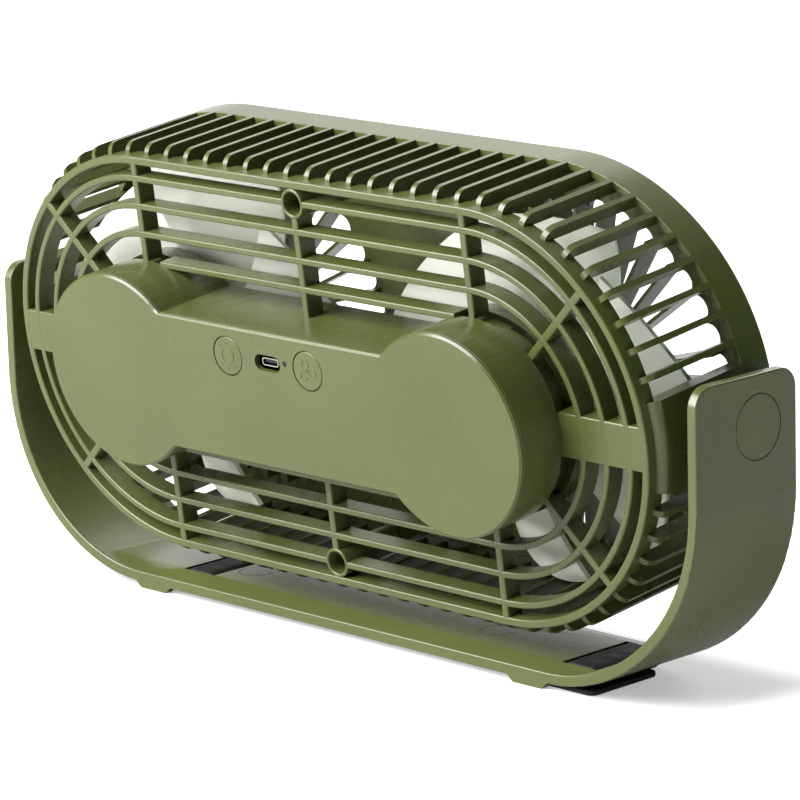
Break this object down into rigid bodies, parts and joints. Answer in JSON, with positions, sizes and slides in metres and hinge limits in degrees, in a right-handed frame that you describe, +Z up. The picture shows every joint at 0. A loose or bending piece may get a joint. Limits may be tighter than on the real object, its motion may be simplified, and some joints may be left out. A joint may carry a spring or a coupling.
{
  "type": "portable camping fan",
  "caption": "Portable camping fan with two rotors side by side in one tilting grilled head, on a U-shaped stand with a woven carry strap and a front lamp",
  "frame": {"origin": "middle of the whole fan's footprint, on the ground under the feet", "axes": "X runs across the fan, +Y towards the buttons and the battery cover, -Y the way the air blows, +Z up"},
  "size_m": [0.326, 0.0878, 0.1663],
  "materials": {
    "olive_abs": "fine satin",
    "olive_button": "fine satin",
    "black_nylon": "matt",
    "nickel_steel": "nickel plated",
    "clear_acrylic": "polished",
    "green_board": "lacquered",
    "zinc_screws": "zinc plated",
    "red_wire": "PVC",
    "battery_sleeve": "shrink sleeve",
    "black_gloss": "gloss",
    "lamp_aluminium": "satin",
    "led_yellow": "gloss",
    "reflector": "metallised",
    "black_webbing": "woven",
    "black_rubber": "matt",
    "white_nylon": "matt",
    "bronze": "sintered",
    "ferrite": "sintered",
    "copper_core": "wound",
    "pale_pp": "satin",
    "brass_insert": "knurled"
  },
  "bodies": {
    "stand": {"stand_bracket": "olive_abs", "floor_plugs": "olive_abs", "carry_strap": "black_webbing", "strap_tab": "black_rubber", "left_pivot_cap": "olive_abs", "right_pivot_cap": "olive_abs"},
    "head": {"rear_housing": "olive_abs", "side_shell": "olive_abs", "rear_cover": "olive_abs", "front_grille": "olive_abs", "tact_switches": "black_nylon", "usb_socket": "nickel_steel", "socket_tongue": "black_nylon", "indicator_light": "clear_acrylic", "control_board": "green_board", "board_screws": "zinc_screws", "cover_screws": "zinc_screws", "motor_leads": "red_wire", "lamp_lead": "red_wire", "battery_cells": "battery_sleeve", "battery_holder": "black_nylon", "motor_screws": "zinc_screws", "housing_screws": "zinc_screws", "lamp_housing": "black_gloss", "lamp_board": "lamp_aluminium", "lamp_led": "led_yellow", "lamp_reflector": "reflector", "lamp_lens": "clear_acrylic", "left_motor_can": "nickel_steel", "left_motor_end_cap": "white_nylon", "left_motor_bushes": "bronze", "left_motor_magnets": "ferrite", "left_pivot_insert": "brass_insert", "left_pivot_washer": "black_nylon", "left_pivot_screw": "zinc_screws", "right_motor_can": "nickel_steel", "right_motor_end_cap": "white_nylon", "right_motor_bushes": "bronze", "right_motor_magnets": "ferrite", "right_pivot_insert": "brass_insert", "right_pivot_washer": "black_nylon", "right_pivot_screw": "zinc_screws"},
    "fan_push": {"fan_button": "olive_button", "fan_switch_plunger": "black_nylon"},
    "light_push": {"light_button": "olive_button", "light_switch_plunger": "black_nylon"},
    "left_rotor": {"left_impeller": "pale_pp", "left_armature": "copper_core", "left_motor_shaft": "nickel_steel"},
    "right_rotor": {"right_impeller": "pale_pp", "right_armature": "copper_core", "right_motor_shaft": "nickel_steel"}
  },
  "joints": [
    {"name": "head_tilt", "type": "hinge", "parent": "stand", "child": "head", "pos_m": [0, -0.01224, 0.0904], "axis": [1, 0, 0], "range_deg": [-82.9, 97.1]},
    {"name": "fan_button_push", "type": "slide", "parent": "head", "child": "fan_push", "axis": [0, -0.9923, 0.1236], "range_m": [0, 0.0006], "stiffness_N_per_m": 1500, "springref_m": -0.0008},
    {"name": "light_button_push", "type": "slide", "parent": "head", "child": "light_push", "axis": [0, -0.9923, 0.1236], "range_m": [0, 0.0006], "stiffness_N_per_m": 1500, "springref_m": -0.0008},
    {"name": "left_rotor_spin", "type": "hinge", "parent": "head", "child": "left_rotor", "pos_m": [-0.077, -0.00609, 0.08963], "axis": [0, 0.9923, -0.1236], "continuous": true},
    {"name": "right_rotor_spin", "type": "hinge", "parent": "head", "child": "right_rotor", "pos_m": [0.077, -0.00609, 0.08963], "axis": [0, 0.9923, -0.1236], "continuous": true}
  ]
}
